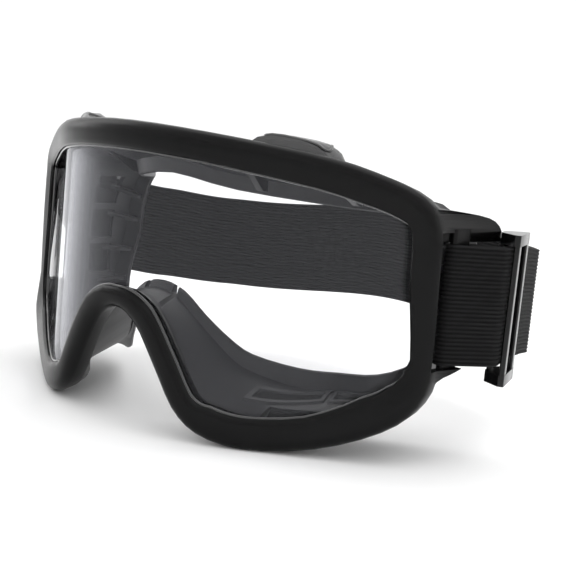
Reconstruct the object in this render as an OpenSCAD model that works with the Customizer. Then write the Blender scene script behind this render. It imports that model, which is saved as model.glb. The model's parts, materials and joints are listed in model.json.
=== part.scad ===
// Wide-view goggles: a moulded rim with strap windows, a one-piece clear lens, a soft face
// skirt with covered vents, and an elastic head strap with a slider on each side.
// Front is -Y, +X is the right of someone who looks at the front, and Z = 0 is the table.

/* [Rim] */
// Width over the rim
rim_width = 180; // [174:1:186]
// Height of the rim above the table
rim_height = 96; // [92:1:100]
// Height of the widest point of the rim
wide_z = 33; // [30:1:36]
// Distance of each lower lobe from the middle
lobe_x = 45; // [42:1:48]
// Height of the nose arch
nose_z = 37.4; // [34:0.2:41]
// Radius of the front in plan
front_r = 78; // [72:1:84]
// Angle at which the front becomes straight and sweeps back
sweep = 36; // [32:1:39]
// Depth of the rim from front to back
rim_depth = 9; // [8.4:0.1:11]
// Width of the rim band at the brow
band_brow = 9; // [8:0.1:10.5]
// Width of the rim band beside the brow
band_temple = 9.7; // [9:0.1:10.5]
// Width of the rim band at the top corners
band_corner = 8.9; // [8:0.1:9.5]
// Width of the rim band at the sides
band_side = 6.2; // [6:0.1:8]
// Width of the rim band at the lower outer corners
band_cheek = 11.6; // [10:0.1:12.5]
// Width of the rim band along the lower lobes
band_low = 10.2; // [9:0.1:11]
// Width of the rim band beside the nose
band_nose = 8.2; // [7.4:0.1:9]
// Width of the rim band over the nose
band_bridge = 6.6; // [6.2:0.1:8]
// Thickness of the rim's outer wall behind the band
rim_skin = 2.2; // [1.8:0.1:2.6]
// Radius of the rim's outer front edge
edge_r = 3.6; // [2.6:0.1:3.9]
// How far the rim's outer wall draws in towards its back edge
wall_draft = 1.1; // [0.6:0.1:1.4]
// How far the band's outer edge turns back with the plan, as a share
face_turn = 0.4; // [0.3:0.05:1]

/* [Lens] */
// Thickness of the lens
lens_t = 2; // [1.6:0.1:2.4]
// Depth of the rim's front edge in front of the lens groove
groove_lead = 2.8; // [2.4:0.1:3.4]
// Depth of the lens groove
groove_depth = 2; // [1.5:0.1:2.4]
// Thickness of the lip behind the lens groove
groove_lip = 1.2; // [1:0.1:1.6]
// Clearance all round the lens in its groove
lens_fit = 0.25; // [0.2:0.05:0.35]

/* [Face skirt] */
// Wall of the soft skirt
skirt_wall = 2; // [1.6:0.1:2.4]
// Distance of the face opening's side from the rim's widest point
eye_inset = 20; // [18:1:23]
// Distance of the face opening's top below the rim's top
eye_drop = 16; // [14:1:19]
// Height of the bottom of the face opening
eye_low = 22; // [20:1:24]
// Height of the face opening's edge over the rim's nose arch
bridge_rise = 7.6; // [6.6:0.2:9]
// Depth of the face lip at the nose
bridge_y = 24; // [22:0.5:26]
// Depth of the face lip at the temples
temple_y = 80; // [76:1:84]
// Thickness of the face lip
lip_t = 1.8; // [1.4:0.1:2.2]
// How far the face lip reaches inside the skirt's wall
lip_in = 5; // [4:0.5:6]
// Reach of the face lip's outer edge at the brow
lip_brow = 9; // [8:0.5:10]
// Reach of the face lip's outer edge at the temples
lip_temple = 13; // [11:0.5:14]
// Reach of the face lip's outer edge below the eyes
lip_low = 15; // [13:0.5:16]
// Reach of the face lip's outer edge beside the nose
lip_nose = 4; // [3:0.5:5]
// How far the face lip flares back at the temples
lip_flare = 9; // [6:0.5:11]
// Width of the slits beside the nose tongue
slit_w = 0.8; // [0.6:0.1:1.2]
// Distance of each nose slit from the middle
slit_x = 5.6; // [5:0.1:7]

/* [Vents] */
// Distance of each top vent cap's middle from the rim's widest point
top_cap_inset = 45; // [42:0.5:47]
// Length of each top vent cap
top_cap_l = 23; // [21:1:27]
// Height of each top vent cap over the rim
top_cap_rise = 2.6; // [1.6:0.1:3]
// Distance of each bottom vent cap's middle from the rim's widest point
low_cap_inset = 38; // [35:0.5:41]
// Length of each bottom vent cap
low_cap_l = 22; // [18:1:24]
// Front-to-back width of each vent cap
cap_d = 10; // [9:0.5:11]
// Wall of each vent cap
cap_wall = 1.2; // [1:0.1:1.4]
// Height of each side vent window
side_vent_h = 11; // [8:0.5:11.4]
// Height step from one side vent window to the next
side_vent_pitch = 13.4; // [12.6:0.1:14]
// Width of each side vent window, front to back
side_vent_d = 10; // [7:0.5:12]
// Distance of the side vent windows in front of the face lip
side_vent_lead = 9.5; // [9:0.5:12]

/* [Strap windows] */
// Gap in front of the bar that the strap turns round
slot_gap = 6; // [5:0.1:7]
// Front-to-back width of the bar
bar_w = 8; // [6:0.5:9]
// Thickness of the bar
bar_t = 2.4; // [2:0.1:3]
// Clearance between the strap and the top of its window
slot_room = 3.5; // [2:0.5:4]
// Clearance between the strap and the foot of its window
slot_foot = 1.2; // [0.8:0.1:2]
// Height over which the lower arm grows out of the rim
arm_root = 7; // [5:0.5:9]
// Height over which the upper arm grows out of the rim
wing_root = 7; // [5:0.5:8]
// How far the lower arm of the window reaches behind the bar
arm_tail = 0.5; // [0:0.5:3]
// How far the upper arm of the window reaches behind the bar
wing_tail = 18; // [14:0.5:19]
// Angle at which the lower arm and the bar point outward
arm_splay = 7; // [5:1:9]
// Angle at which the upper arm points outward
wing_splay = 1; // [0:0.5:2]

/* [Strap] */
// Width of the elastic strap
strap_w = 37; // [35:0.5:39]
// Thickness of the elastic strap
strap_t = 1.3; // [1:0.1:1.6]
// Distance of the strap's upper edge below the rim's top
strap_drop = 27.5; // [25:0.5:29]
// Angle at which the strap leaves its bar, outward
strap_splay = 33; // [28:1:36]
// Length of the strap from its bar to the bend in front of the slider
strap_lead = 15; // [13:0.5:18]
// Angle at which the strap passes through the slider, inward
strap_turn = 19; // [16:1:22]
// Length of the straight stretch that the slider runs on
strap_run = 56; // [52:1:60]
// Radius of the bend in front of the slider
bend_r = 5; // [4.5:0.5:8]
// Radius of the bend behind the wearer's ears
corner_r = 25; // [18:1:35]
// Angle at which the strap leaves that bend, inward
corner_turn = 60; // [54:1:66]

/* [Sliders] */
// Length of each slider along the strap
slider_l = 17; // [15:0.5:20]
// Width of each bar of a slider
slider_bar = 3.8; // [3.4:0.1:4.4]
// Thickness of each bar of a slider
slider_t = 1.8; // [1.4:0.1:2.2]
// Width of the side rails of a slider
slider_rail = 3.6; // [3.2:0.1:4.4]
// Room of the strap between the two side rails
slider_room = 1.6; // [1.2:0.1:2]
// Length of the sewn end in front of the slider's middle bar
sewn_l = 8; // [7.5:0.5:10]
// Running gap between the strap and a slider
run_gap = 0.3; // [0.25:0.05:0.4]

/* [Hidden] */
eps = 0.01;
big = 400;

// Clearance between pieces that are pressed or sewn together
snug = 0.15;

// The rim's outline: each station is a share of the way along its stretch
half_width = rim_width / 2;
brow_shape = [
    [0, 1], [0.3, 0.983], [0.6, 0.936], [0.783, 0.873],
    [0.923, 0.779], [0.98, 0.635], [0.991, 0.365], [1, 0]
];
lobe_shape = [[0.95, 0.591], [0.755, 0.308], [0.39, 0.077], [0, 0]];
nose_shape = [[0.7, 0.07], [0.52, 0.25], [0.35, 0.6], [0.18, 0.9], [0, 1]];
rim_line = concat(
    [for (p = brow_shape) [p.x * half_width, wide_z + p.y * (rim_height - wide_z)]],
    [for (p = lobe_shape) [lobe_x + p.x * (half_width - lobe_x), p.y * wide_z]],
    [for (p = nose_shape) [p.x * lobe_x, p.y * nose_z]]
);
band = [
    band_brow, band_brow, band_temple, band_temple, band_corner,
    (band_corner + band_side) / 2, (band_corner + band_side) / 2, band_side,
    (band_side + band_cheek * 3) / 4, band_cheek, band_low, band_low,
    band_low, band_nose, band_nose, band_nose, band_bridge
];

// The inner edge of the face lip, with the same stations, and its depth as a share of the
// way from the bridge of the nose to the temples
eye_x = half_width - eye_inset;
eye_top = rim_height - eye_drop;
bridge_z = nose_z + bridge_rise;
eye_low_x = lobe_x - 3;
eye_wide_z = wide_z + 3;
eye_upper = [
    [0, 1], [0.314, 0.93], [0.629, 0.864], [0.857, 0.836],
    [0.933, 0.75], [0.98, 0.568], [1, 0.318], [1, 0]
];
eye_lower = [[0.911, 0.321], [0.643, -0.02], [0.321, -0.04], [0, 0]];
eye_nose = [[0.729, 0.139], [0.571, 0.335], [0.405, 0.622], [0.214, 0.913], [0, 1]];
eye_line = concat(
    [for (p = eye_upper) [p.x * eye_x, eye_wide_z + p.y * (eye_top - eye_wide_z)]],
    [for (p = eye_lower) [
        eye_low_x + p.x * (eye_x - eye_low_x), eye_low + p.y * (eye_wide_z - eye_low)
    ]],
    [for (p = eye_nose) [p.x * eye_low_x, eye_low + p.y * (bridge_z - eye_low)]]
);
face_share = [
    0, 0.125, 0.61, 0.91, 0.97, 0.99, 1, 0.93, 0.875, 0.72, 0.55, 0.39, 0.21, 0.125,
    0.045, 0.005, 0
];

// Reach of the lip outside its inner edge, and its flare, station by station
lip_reach = [
    lip_brow, lip_brow, lip_brow * 0.7, lip_brow * 0.65, lip_temple * 0.6, lip_temple * 0.8,
    lip_temple, lip_temple * 0.8, lip_temple * 0.5, lip_low * 0.55, lip_low * 0.8,
    (lip_low + lip_nose) / 2, (lip_low + lip_nose * 7) / 8, lip_nose, lip_nose, lip_nose,
    lip_nose
];
flare_share = [0.2, 0.3, 0.4, 0.5, 0.7, 0.9, 1, 0.8, 0.5, 0.5, 0.5, 0.5, 0.4, 0.2, 0, 0, 0];
root_share = [1, 1, 1, 1, 1.1, 1.2, 1.3, 1.3, 1.2, 1.2, 1.2, 1.2, 1, 0.7, 0.5, 0.5, 0.5];

last = len(rim_line) - 1;
steps = 3;
stations = [for (k = [0 : last * steps]) k / steps];
loop_stations = concat(
    [for (s = stations) [s, 1]],
    [for (k = [last * steps - 1 : -1 : 1]) [stations[k], -1]]
);

// A smooth curve through the stations, mirrored over the middle at both ends
function mirrored(p) = [-p.x, p.y];
function knot(line, i) =
    i < 0 ? mirrored(line[-i]) : i > last ? mirrored(line[2 * last - i]) : line[i];
function spline(a, b, c, d, t) =
    (2 * b + (c - a) * t + (2 * a - 5 * b + 4 * c - d) * t * t
        + (3 * b - a - 3 * c + d) * t * t * t) / 2;
function at(line, s) =
    let (i = min(floor(s), last - 1))
    spline(knot(line, i - 1), knot(line, i), knot(line, i + 1), knot(line, i + 2), s - i);
function slope(a, b, c, d, t) =
    ((c - a) + (2 * a - 5 * b + 4 * c - d) * 2 * t + (3 * b - a - 3 * c + d) * 3 * t * t) / 2;
function heading(line, s) =
    let (i = min(floor(s), last - 1))
    slope(knot(line, i - 1), knot(line, i), knot(line, i + 1), knot(line, i + 2), s - i);
function inward(line, s) = let (h = heading(line, s)) [h.y, -h.x] / norm(h);
function share(list, s) =
    let (i = min(floor(s), last - 1), t = s - i) list[i] + (list[i + 1] - list[i]) * t;
function entry(list, i) = list[i < 0 ? -i : i > last ? 2 * last - i : i];
function eased(list, s) =
    let (i = min(floor(s), last - 1))
    spline(entry(list, i - 1), entry(list, i), entry(list, i + 1), entry(list, i + 2), s - i);

// Plan of the front: an arc in the middle, then straight sides that sweep back
bend_x = front_r * sin(sweep);
function front_y(x) =
    abs(x) < bend_x
        ? front_r - sqrt(front_r * front_r - x * x)
        : front_r * (1 - cos(sweep)) + (abs(x) - bend_x) * tan(sweep);

// Depth of the face lip
function face_y(s) = bridge_y + (temple_y - bridge_y) * eased(face_share, s);

// A point that lies u inside the rim's outline and v behind the rim's front. The band's
// outer part is turned to the front, away from the plan that the lens lies on.
hold = 0.3;
function rim_point(s, side, u, v) =
    let (
        p = at(rim_line, s) + u * inward(rim_line, s),
        held = max(u, share(band, s) - groove_depth - hold),
        r = at(rim_line, s) + held * inward(rim_line, s)
    )
    [side * p.x, mix(front_y(r.x), front_y(p.x), face_turn) + v, p.y];

// A point that lies out outside the face lip's inner edge and back behind the face plan
function lip_point(s, side, out, back) =
    let (p = at(eye_line, s) - out * inward(eye_line, s))
    [side * p.x, face_y(s) + back, p.y];

// A closed ring of sections, or a run of them with two ends that fan from one corner
module loft(rings, closed = true, hub = 0) {
    n = len(rings);
    m = len(rings[0]);
    spans = closed ? n : n - 1;
    walls = [
        for (i = [0 : spans - 1], j = [0 : m - 1], k = [0 : 1])
            let (a = i * m, b = ((i + 1) % n) * m, q = (j + 1) % m, first = k == 0)
            closed && i >= n / 2
                ? (first ? [a + j, a + q, b + j] : [a + q, b + q, b + j])
                : (first ? [a + j, a + q, b + q] : [a + j, b + q, b + j])
    ];
    ends = closed ? [] : [
        for (j = [1 : m - 2], k = [0 : 1])
            let (p = (hub + j) % m, q = (hub + j + 1) % m, b = (n - 1) * m)
            k == 0 ? [hub, q, p] : [b + hub, b + p, b + q]
    ];
    polyhedron([for (r = rings, p = r) p], concat(walls, ends), convexity = 8);
}

// Section of the rim: rounded front band, lens groove and outer wall
groove_end = groove_lead + lens_t + 2 * lens_fit;
rim_back = groove_end + groove_lip;
function rim_section(w) = [
    [rim_skin, rim_depth - 0.4], [rim_skin, rim_back],
    [w - groove_depth - hold, rim_back], [w - 0.3, rim_back],
    [w, groove_end], [w - groove_depth, groove_end], [w - groove_depth, groove_lead],
    [w, groove_lead], [w - 0.2, 1.2], [w - 0.9, 0.4], [w - 2.2, 0],
    for (k = [0 : edge_steps]) edge_r * [1 - sin(k * edge_turn), 1 - cos(k * edge_turn)],
    [wall_draft, rim_depth]
];
edge_steps = 4;
edge_turn = 90 / edge_steps;

// Strap run: the outer layer's middle line, from the bar to the middle at the back
strap_z = rim_height - strap_drop - strap_w;
bar_inset = strap_t / 2 + snug + bar_t / 2;
window_x = half_width - 1.7;
window_y = front_y(window_x) + 1.6;
bar_y = window_y + slot_gap + strap_t + snug;
bar_front = [
    window_x - bar_inset + (bar_y - window_y) * tan(arm_splay), bar_y + bar_t / 2
];
function across(angle) = [cos(angle), sin(angle)];
function along(p, angle, l) = p + l * [-sin(angle), cos(angle)];
function turn(p, r, a0, a1) = p + r * [cos(a1) - cos(a0), sin(a1) - sin(a0)];
fold_steps = 12;
fold_line = [
    for (k = [0 : fold_steps]) let (a = mix(-180 - arm_splay, -strap_splay, k / fold_steps))
        [bar_front + bar_inset * across(a), a]
];
lead_start = fold_line[fold_steps][0];
lead_end = along(lead_start, -strap_splay, strap_lead);
run_start = turn(lead_end, bend_r, -strap_splay, strap_turn);
run_end = along(run_start, strap_turn, strap_run);
corner_end = turn(run_end, corner_r, strap_turn, corner_turn);
back_r = corner_end.x / cos(corner_turn);
back_y = corner_end.y + back_r * (1 - sin(corner_turn));
depth = back_y + strap_t / 2;

// A slab of strap beside a line of points: each point has its place and heading
function arc_line(p, r, a0, a1, n, first = 0) =
    [for (k = [first : n]) let (a = a0 + (a1 - a0) * k / n) [turn(p, r, a0, a), a]];
half_line = concat(
    fold_line,
    arc_line(lead_end, bend_r, -strap_splay, strap_turn, 6),
    arc_line(run_end, corner_r, strap_turn, corner_turn, 6),
    arc_line(corner_end, back_r, corner_turn, 90, 8, 1)
);
function beside(step, off) = step[0] + off * across(step[1]);

// Slider: distances out of the strap's middle plane, and along the run
over_strap = strap_t / 2 + run_gap;
wrap_out = -over_strap;
wrap_in = wrap_out - strap_t;
mid_bar_out = wrap_in - snug;
mid_bar_in = mid_bar_out - slider_t;
inner_out = mid_bar_in - snug;
inner_in = inner_out - strap_t;
slider_at = slider_l / 2 + 0.7;
slider_h = strap_w + 2 * slider_room + 2 * slider_rail;
slider_drop = slider_room - run_gap;
slider_z = strap_z + strap_w / 2 - slider_drop;

// Puts the middle of the part's plan over the origin
module placed() translate([0, -depth / 2, 0]) children();

// One side of the part, as drawn on the right
module side(s) if (s > 0) children(); else mirror([1, 0, 0]) children();

// The slider's own frame: X out of the strap, Y along the run, Z up
module on_run(along_run) {
    p = along(run_start, strap_turn, along_run);
    translate([p.x, p.y, 0]) rotate([0, 0, strap_turn]) children();
}

// The window frame that carries the strap: two arms that grow out of the rim's side, the
// upper one longer, and a recessed bar between them
arm_out = strap_t / 2 + 0.5;
arm_t = arm_out + bar_inset + bar_t / 2;
arm_in = arm_t - arm_out;
arm_end = bar_y + bar_w + arm_tail;
wing_end = bar_y + bar_w + wing_tail;
window_low = strap_z - slot_foot;
window_top = strap_z + strap_w + slot_room;
window_mid = (window_low + window_top) / 2;
// Each arm's reach as a share, by its height from the window as a share of its root
arm_shape = [
    [-1, 0], [-0.72, 0.04], [-0.52, 0.12], [-0.34, 0.26], [-0.2, 0.5], [-0.09, 0.76],
    [0, 0.95], [0.28, 1]
];
wing_shape = [
    [-0.28, 1], [0, 1], [0.14, 0.985], [0.28, 0.96], [0.46, 0.9], [0.61, 0.79],
    [0.74, 0.6], [0.84, 0.38], [0.93, 0.17], [1, 0]
];
arm_levels = concat(
    [for (p = arm_shape) window_low + p.x * arm_root],
    [window_mid - arm_t / 3, window_mid + arm_t / 3],
    [for (p = wing_shape) window_top + p.x * wing_root]
);
arm_flush = 0.6;
function arm_reach(z) = z < window_mid
    ? lookup((z - window_low) / arm_root, arm_shape)
    : lookup((z - window_top) / wing_root, wing_shape);
function side_station(z, s) = at(rim_line, s).y <= z ? s : side_station(z, s + 0.02);
function arm_ring(z) =
    let (
        edge = rim_point(side_station(z, 3), 1, 0, 0),
        x = edge.x,
        y = edge.y,
        tail_y = mix(y + rim_depth - 1, z < window_mid ? arm_end : wing_end, arm_reach(z)),
        side_x = min(window_x + arm_out, x + arm_flush),
        splay = z < window_mid ? arm_splay : wing_splay,
        tail_x = side_x + (tail_y - window_y) * tan(splay),
        blend = min(1, max(0, (tail_y - y - rim_depth + 1) / 4)),
        out_x = mix(x - wall_draft - 0.2, tail_x, blend),
        root_x = max(x - arm_t + 1, min(x - rim_skin + 0.1, skirt_limit + 0.4))
    ) [
        [x - wall_draft, y + 3.4, z], [x - 2, y + 3.4, z], [root_x, y + rim_depth - 2, z],
        [out_x - arm_t, tail_y, z], [out_x - 0.7, tail_y, z], [out_x, tail_y - 1, z]
    ];
module strap_window() {
    difference() {
        loft([for (z = arm_levels) arm_ring(z)], false, 2);
        strap_room();
    }
    translate([bar_front.x, bar_front.y, window_low - 1]) rotate([0, 0, -arm_splay])
        bar(window_top - window_low + 2);
}

// The bar, rounded where the strap turns round it; its front centre is the origin
module bar(h) {
    cylinder(d = bar_t, h = h, $fn = 32);
    translate([-bar_t / 2, 0, 0]) cube([bar_t, bar_w - bar_t, h]);
    translate([0, bar_w - bar_t, 0]) cylinder(d = bar_t, h = h, $fn = 32);
}

// Room beside the rim and the skirt in which the strap turns round its bar
recess_x = window_x - arm_in - strap_t - 2 * snug;
module strap_room() {
    translate([recess_x, window_y, window_low])
        cube([big, wing_end - window_y + 1, window_top - window_low]);
}

module front_rim() color([0.06, 0.06, 0.065]) placed() {
    difference() {
        loft([for (k = loop_stations) [
            for (p = rim_section(share(band, k[0]))) rim_point(k[0], k[1], p.x, p.y)
        ]]);
        for (s = [-1, 1]) side(s) strap_room();
    }
    for (s = [-1, 1]) side(s) strap_window();
}

// The lens: a plate of the rim's plan, cut to the outline of the groove
lens_y = groove_lead + lens_fit;
plan_cells = 45;
plan_x = [for (k = [0 : plan_cells]) half_width * (2 * k / plan_cells - 1)];
module lens() color([0.8, 0.85, 0.9, 0.3]) placed() intersection() {
    linear_extrude(rim_height) polygon(concat(
        [for (x = plan_x) [x, front_y(x) + lens_y]],
        [for (k = [len(plan_x) - 1 : -1 : 0]) [plan_x[k], front_y(plan_x[k]) + lens_y + lens_t]]
    ));
    translate([0, big / 2, 0]) rotate([90, 0, 0]) linear_extrude(big) polygon([
        for (k = loop_stations)
            let (u = share(band, k[0]) - groove_depth + lens_fit)
            let (p = rim_point(k[0], k[1], u, 0)) [p.x, p.z]
    ]);
}

// Section of the skirt: from behind the rim to the face lip and back inside
skirt_u = rim_skin + snug;
skirt_v = rim_back + snug;
skirt_bow = 0.35;
skirt_pinch = 0.6;
skirt_limit = recess_x - 0.3;
function mix(a, b, t) = a + (b - a) * t;
function tucked(p, limit) = [sign(p.x) * min(abs(p.x), limit), p.y, p.z];
function bowed(a, b) = [
    mix(a.x, b.x, skirt_pinch), mix(a.y, b.y, skirt_bow), mix(a.z, b.z, skirt_pinch)
];
function lip_root(s) = lip_in * share(root_share, s);

// The skirt's wall at one station, at a depth inside its outer face
function wall_line(s, side, inside) =
    let (
        front = tucked(rim_point(s, side, skirt_u + inside, skirt_v), skirt_limit - inside),
        root = lip_point(s, side, lip_root(s) + skirt_wall - inside, -lip_t - 1)
    ) [front, bowed(front, root), root];
function skirt_ring(s, side) =
    let (
        outer = wall_line(s, side, 0),
        inner = wall_line(s, side, skirt_wall),
        flare = lip_flare * share(flare_share, s),
        reach = share(lip_reach, s)
    ) [
        outer[0], outer[1], outer[2],
        lip_point(s, side, reach, flare - lip_t),
        lip_point(s, side, reach + 0.4, flare - lip_t / 2),
        lip_point(s, side, reach, flare),
        lip_point(s, side, lip_root(s) + skirt_wall / 2, 0),
        lip_point(s, side, 0.4, 0),
        lip_point(s, side, 0, -lip_t / 2),
        lip_point(s, side, 0.4, -lip_t),
        inner[2], inner[1], inner[0]
    ];

module face_skirt() color([0.1, 0.1, 0.11]) placed() difference() {
    loft([for (k = loop_stations) skirt_ring(k[0], k[1])]);
    for (s = [-1, 1]) side(s) {
        nose_slit();
        cap_window(top_run(window_end));
        cap_window(low_run(window_end));
        side_windows();
    }
}

slit_l = 14;
module nose_slit() {
    translate([slit_x - slit_w / 2, bridge_y - slit_l / 2, bridge_z - 3.2])
        cube([slit_w, slit_l, slit_l]);
}

// Three windows in the skirt's side, in front of the face lip
side_vent_z = window_mid + 1.5;
side_vent_y = temple_y - side_vent_lead - side_vent_d;
module side_windows() {
    for (k = [-1 : 1])
        translate([eye_x, side_vent_y, side_vent_z + k * side_vent_pitch - side_vent_h / 2])
            cube([eye_inset, side_vent_d, side_vent_h]);
}
// Stations of the rim along which a vent cap reaches
cap_steps = 8;
cap_v0 = rim_depth + 0.3;
cap_v1 = cap_v0 + cap_d;
window_end = cap_wall + 1.2;
widest = 7;
function station_of(x, s, way) =
    way * (at(rim_line, s).x - x) >= 0 ? s : station_of(x, s + 0.05, way);
function cap_run(x, l, s, way) =
    let (a = station_of(x - way * l / 2, s, way), b = station_of(x + way * l / 2, s, way))
    [for (i = [0 : cap_steps]) a + (b - a) * i / cap_steps];
function top_run(margin) =
    cap_run(half_width - top_cap_inset, top_cap_l - 2 * margin, 0, 1);
function low_run(margin) =
    cap_run(half_width - low_cap_inset, low_cap_l - 2 * margin, widest, -1);

// Sections across a vent cap: its hood, the air path under it, its window and the wall
cap_root = 11.5;
cap_past = 13;
room_depth = 9;
room_reach = 1;
function hood(top) = [
    [cap_root, cap_v0], [top + 1.6, cap_v0], [top + 0.4, cap_v0 + 0.8], [top, cap_v0 + 2.4],
    [top, cap_v1 - 3.5], [top + 1, cap_v1 - 1.2], [top + 2.8, cap_v1], [cap_root, cap_v1]
];
function air_path(top) = [
    [cap_past, cap_v0 + cap_wall], [top + cap_wall + 1, cap_v0 + cap_wall],
    [top + cap_wall, cap_v0 + cap_wall + 1], [top + cap_wall, cap_v1 - 4],
    [top + cap_wall + 1.4, cap_v1 - cap_wall], [top + cap_wall + 1.4, cap_v1 + 2],
    [cap_past, cap_v1 + 2]
];
window_section = [
    [0, cap_v0 + window_end], [0, cap_v1 - window_end],
    [cap_past, cap_v1 - window_end], [cap_past, cap_v0 + window_end]
];
function swell(i) = 1 - pow(abs(2 * i / cap_steps - 1), 4);
module station_loft(run, sections) loft([
    for (i = [0 : cap_steps]) [for (p = sections[i]) rim_point(run[i], 1, p.x, p.y)]
], false);
module cap_window(run) station_loft(run, [for (i = [0 : cap_steps]) window_section]);
module wall_room(run) loft([
    for (s = stations) if (s > run[0] - room_reach && s < run[cap_steps] + room_reach) concat(
        wall_line(s, 1, -snug),
        [for (k = [2 : -1 : 0]) wall_line(s, 1, room_depth)[k]]
    )
], false, 4);
module vent_cap(run, inner_run, rise) difference() {
    station_loft(run, [for (i = [0 : cap_steps]) hood(mix(2.4, -rise, swell(i)))]);
    station_loft(inner_run, [for (i = [0 : cap_steps]) air_path(mix(3, -rise, swell(i)))]);
    wall_room(run);
}
low_cap_rise = -0.6;
module top_vent_cap(s) color([0.09, 0.09, 0.1]) placed() side(s)
    vent_cap(top_run(0), top_run(cap_wall), top_cap_rise);
module bottom_vent_cap(s) color([0.09, 0.09, 0.1]) placed() side(s)
    vent_cap(low_run(0), low_run(cap_wall), low_cap_rise);

// The strap's running layer: it turns round both bars and passes behind the head
band_outer = [for (k = half_line) beside(k, strap_t / 2)];
band_inner = [for (k = half_line) beside(k, -strap_t / 2)];
band_last = len(half_line) - 1;
module strap_band() color([0.03, 0.03, 0.03]) placed()
    translate([0, 0, strap_z]) linear_extrude(strap_w) polygon(concat(
        band_outer,
        [for (i = [band_last - 1 : -1 : 0]) mirrored(band_outer[i])],
        [for (p = band_inner) mirrored(p)],
        [for (i = [band_last - 1 : -1 : 0]) band_inner[i]]
    ));

// The inner layer, from the bar to the sewn end; it gets shorter as the slider moves back
return_gap = 0.1;
return_steps = 8;
return_pull = 4.6;
wrap_mid = (wrap_out + wrap_in) / 2;
return_start = fold_line[0][0];
return_bend = along(return_start, -arm_splay, bar_w - bar_t);
return_end = along(run_start, strap_turn, slider_at - sewn_l - return_gap)
    + wrap_mid * across(strap_turn);
pull_a = along(return_bend, -arm_splay, return_pull);
pull_b = along(return_end, strap_turn, -return_pull);
function sweep_at(t) =
    pow(1 - t, 3) * return_bend + 3 * t * pow(1 - t, 2) * pull_a
        + 3 * t * t * (1 - t) * pull_b + pow(t, 3) * return_end;
function sweep_way(t) =
    pow(1 - t, 2) * (pull_a - return_bend) + 2 * t * (1 - t) * (pull_b - pull_a)
        + t * t * (return_end - pull_b);
return_line = concat(
    [[return_start, -arm_splay]],
    [for (k = [0 : return_steps])
        let (t = k / return_steps, w = sweep_way(t)) [sweep_at(t), atan2(-w.x, w.y)]]
);
module strap_return(s) color([0.035, 0.035, 0.035]) placed() side(s)
    translate([0, 0, strap_z]) linear_extrude(strap_w) polygon(concat(
        [for (k = return_line) beside(k, strap_t / 2)],
        [for (i = [len(return_line) - 1 : -1 : 0]) beside(return_line[i], -strap_t / 2)]
    ));

// The sewn end: a loop round the slider's middle bar, stitched to itself in front
mid_bar_w = slider_bar + 1;
tail_l = sewn_l - 0.8;
sew_slant = 2;
loop_r = slider_t / 2 + snug;
loop_y = (mid_bar_w - slider_t) / 2;
loop_mid = (mid_bar_out + mid_bar_in) / 2;
module strap_end(s) color([0.03, 0.03, 0.03]) placed() side(s) on_run(slider_at)
    translate([0, 0, strap_z]) linear_extrude(strap_w) difference() {
        union() {
            translate([wrap_in, -sewn_l]) square([strap_t, sewn_l + loop_y]);
            translate([loop_mid, loop_y]) circle(loop_r + strap_t, $fn = 48);
            polygon([
                [wrap_in, loop_y], [inner_in, loop_y], [inner_in, -loop_y - 1],
                [wrap_in - strap_t, -loop_y - 1 - sew_slant], [wrap_in - strap_t, -tail_l],
                [wrap_in, -tail_l]
            ]);
        }
        hull() for (y = [-loop_y, loop_y])
            translate([loop_mid, y]) circle(loop_r, $fn = 48);
    }

// The slider: two outer bars, a middle bar nearer the head and two side rails
bar_out = over_strap + slider_t;
bar_edge = 0.5;
rail_lip = 0.1;
bar_l = slider_h - slider_rail;
module slider(s) color([0.05, 0.05, 0.055]) placed() side(s) on_run(slider_at)
    translate([0, 0, slider_z - slider_h / 2]) {
        translate([0, 0, slider_rail / 2]) {
            for (y = [-slider_l / 2, slider_l / 2 - slider_bar]) translate([over_strap, y, 0])
                linear_extrude(bar_l) rounded(slider_t, slider_bar, bar_edge);
            translate([mid_bar_in, -mid_bar_w / 2, 0])
                linear_extrude(bar_l) rounded(slider_t, mid_bar_w, slider_t / 2 - rail_lip);
        }
        for (z = [0, slider_h - slider_rail]) translate([0, 0, z]) rail();
    }
module rounded(w, d, r) translate([r, r])
    offset(r = r, $fn = 16) square([w - 2 * r, d - 2 * r]);
module rail() linear_extrude(slider_rail)
    offset(r = bar_edge + rail_lip, $fn = 16) offset(delta = -bar_edge) polygon([
        [bar_out, -slider_l / 2], [bar_out, slider_l / 2],
        [over_strap, slider_l / 2], [mid_bar_in, mid_bar_w / 2 + 1],
        [mid_bar_in, -mid_bar_w / 2 - 1], [over_strap, -slider_l / 2]
    ]);

front_rim();
lens();
face_skirt();
top_vent_cap(-1);  // top_vent_cap_left
top_vent_cap(1);  // top_vent_cap_right
bottom_vent_cap(-1);  // bottom_vent_cap_left
bottom_vent_cap(1);  // bottom_vent_cap_right
strap_band();
strap_return(-1);  // strap_return_left
strap_return(1);  // strap_return_right
strap_end(-1);  // strap_end_left
strap_end(1);  // strap_end_right
slider(-1);  // slider_left
slider(1);  // slider_right
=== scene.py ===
"""Wide-view sports goggles on a pale studio floor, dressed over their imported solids."""

from __future__ import annotations

import logging
import math
from dataclasses import dataclass
from enum import Enum
from typing import Callable, Sequence

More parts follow.
